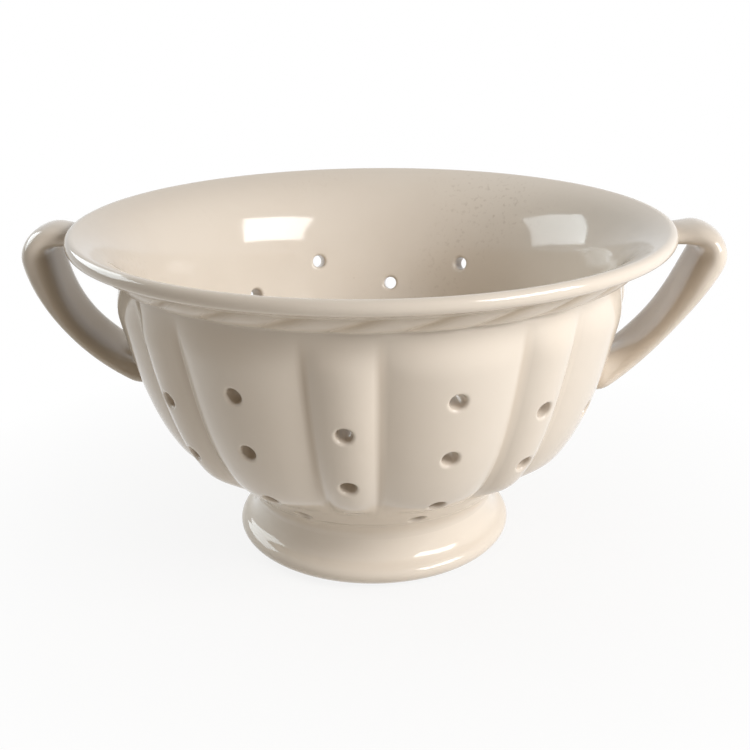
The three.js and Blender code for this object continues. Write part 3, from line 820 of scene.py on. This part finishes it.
# The left handle gets more painted shade in its hollow than the right one
for side_name, side, side_shade, strap in (
    ("right", 1, 0.35, Strap(bend_middle=141.4, bend_turn=115.5, limb_pull=40.6, landing_height=75.5)),
    ("left", -1, 0.75, Strap(bend_middle=140.7, bend_turn=100.0, limb_pull=39.2, landing_height=79.6)),
):
    loop = Shell()
    loop_rings = []
    for arc in np.linspace(0, strap.end, strap_rings):
        points = seated(strap.section(arc, strap.bedded(arc)))
        loop_rings.append(loop.ring(points * (side, side, 1), pool=side_shade * strap.pool(arc, side)))
    for a, b in zip(loop_rings, loop_rings[1:]):
        loop.bridge(a, b)
    loop.faces.append([int(k) for k in loop_rings[0]])
    loop.faces.append([int(k) for k in loop_rings[-1]][::-1])
    handle_name = f"glazed_{side_name}_handle"
    handle_piece = piece_object(handle_name, loop.mesh(handle_name), handle_glaze)
    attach(handle_piece, "root")
    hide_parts(f"{side_name}_handle", f"{side_name}_arm_lute", f"{side_name}_limb_lute")

# Studio. A plain white floor that keeps a faint shadow, in a dim warm room with one soft window in front on
# the right and one behind on the left. Lengths in this section are metres.
floor_reach = 4
floor_tint = (0.72, 0.70, 0.67, 1)
floor_roughness = 0.9
plain_white = (1, 1, 1, 1)
shadow_fade = {"From Min": 0.06, "From Max": 0.26, "To Min": 0.86, "To Max": 1.0}
room_light = (0.16, 0.125, 0.085, 1)
aim_height = 0.1
floor_corners = [(x * floor_reach, y * floor_reach, 0) for x, y in ((-1, -1), (1, -1), (1, 1), (-1, 1))]
floor_mesh = bpy.data.meshes.new("pale_floor")
floor_mesh.from_pydata(floor_corners, [], [(0, 1, 2, 3)])
floor_paint = bpy.data.materials.new("pale_floor")
floor_paint.use_nodes = True
tree = floor_paint.node_tree
paint = tree.nodes["Principled BSDF"]
paint.inputs["Base Color"].default_value = floor_tint
paint.inputs["Roughness"].default_value = floor_roughness
white = wire(tree, "ShaderNodeEmission", {"Color": plain_white, "Strength": 1.0})
place = wire(tree, "ShaderNodeTexCoord").outputs["Object"]
from_foot = wire(tree, "ShaderNodeVectorMath", {0: place}, operation="LENGTH").outputs["Value"]
faded = wire(tree, "ShaderNodeMapRange", {"Value": from_foot, **shadow_fade})


def looked_at(tree):
    """One for rays that show the background: straight to the camera, in a reflection or through glass."""
    path = wire(tree, "ShaderNodeLightPath")
    mirrored = worked(tree, "MAXIMUM", path.outputs["Is Glossy Ray"], path.outputs["Is Transmission Ray"])
    return worked(tree, "MAXIMUM", path.outputs["Is Camera Ray"], mirrored)


lifted = worked(tree, "MULTIPLY", looked_at(tree), faded.outputs[0])
shown = wire(tree, "ShaderNodeMixShader", {0: lifted, 1: paint.outputs[0], 2: white.outputs[0]})
tree.links.new(shown.outputs[0], tree.nodes["Material Output"].inputs["Surface"])
pale_floor = piece_object("pale_floor", floor_mesh, floor_paint)

room = bpy.data.worlds.new("dim_room")
bpy.context.scene.world = room
room.use_nodes = True
tree = room.node_tree
room_mix = {"Factor": looked_at(tree), "A": room_light, "B": plain_white}
seen = wire(tree, "ShaderNodeMix", room_mix, data_type="RGBA")
tree.links.new(seen.outputs["Result"], tree.nodes["Background"].inputs["Color"])


def soft_window(name, azimuth, elevation, distance, size, power, tint):
    """A lamp that faces the bowl; azimuth runs from the camera's side round to the right."""
    lamp = bpy.data.lights.new(name, "AREA")
    lamp.shape = "RECTANGLE"
    lamp.size, lamp.size_y = size
    lamp.energy = power
    lamp.color = tint
    window = bpy.data.objects.new(name, lamp)
    bpy.context.scene.collection.objects.link(window)
    turn, lift = math.radians(azimuth), math.radians(elevation)
    aim = Vector((0, 0, aim_height))
    toward = Vector((math.sin(turn) * math.cos(lift), -math.cos(turn) * math.cos(lift), math.sin(lift)))
    window.location = aim + toward * distance
    window.rotation_euler = (-toward).to_track_quat("-Z", "Y").to_euler()


soft_window(
    "right_window",
    azimuth=60,
    elevation=29,
    distance=1.2,
    size=(0.76, 0.46),
    power=13.2,
    tint=(1, 0.985, 0.97),
)
soft_window(
    "left_window",
    azimuth=-117,
    elevation=26,
    distance=1.2,
    size=(0.85, 0.50),
    power=6.2,
    tint=(0.88, 0.96, 1),
)

# Camera, at the photograph's height and turn. It looks down on the bowl from the front, from a little to the
# right, and is rolled a little. Its values were fitted to the outline in the photograph.
eye_place = (0.0156, -0.4634, 0.2506)
eye_turn = math.radians(1.8)
eye_tilt = math.radians(69.45)
eye_roll = math.radians(-0.6)
eye_lens = 50.74
eye_sensor = 36.0
eye_nearest = 0.01
eye = bpy.data.objects.new("eye", bpy.data.cameras.new("eye"))
bpy.context.scene.collection.objects.link(eye)
eye.data.lens = eye_lens
eye.data.sensor_width = eye_sensor
eye.data.clip_start = eye_nearest
eye.matrix_world = (
    Matrix.Translation(eye_place)
    @ Matrix.Rotation(eye_turn, 4, "Z")
    @ Matrix.Rotation(eye_tilt, 4, "X")
    @ Matrix.Rotation(eye_roll, 4, "Z")
)
bpy.context.scene.camera = eye
bpy.context.scene.view_settings.view_transform = "Standard"

bpy.context.view_layer.update()
